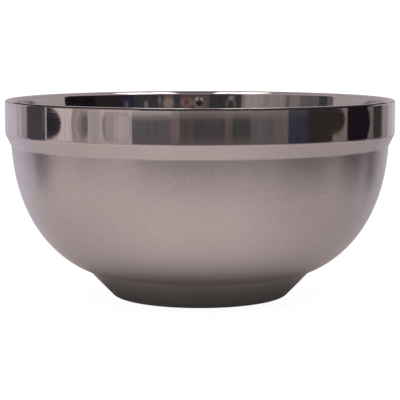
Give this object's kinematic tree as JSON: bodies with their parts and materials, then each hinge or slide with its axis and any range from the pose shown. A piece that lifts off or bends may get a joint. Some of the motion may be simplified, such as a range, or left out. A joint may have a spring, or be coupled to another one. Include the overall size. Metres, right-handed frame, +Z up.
{
  "type": "shaving bowl",
  "caption": "Round double-wall steel bowl for working up shaving lather: mirror liner rolled over a brushed shell, polished band under the rim, tapered foot.",
  "frame": {"origin": "centre of the foot's contact ring, on the surface that the bowl stands on", "axes": "+Z up along the bowl's axis of revolution; X and Y are alike"},
  "size_m": [0.115, 0.115, 0.0585],
  "materials": {
    "brushed_steel": "warm grey stainless steel, fine brushing round the axis, with a polished band under the rim",
    "mirror_steel": "mirror-polished stainless steel with a slight buffing waviness",
    "satin_steel": "satin stainless steel with fine turning marks",
    "sealant": "off-white cured food-safe sealant"
  },
  "bodies": {
    "root": {"outer_shell": "brushed_steel", "inner_bowl": "mirror_steel", "rim_sealant": "sealant", "base_disc": "satin_steel"}
  },
  "joints": []
}
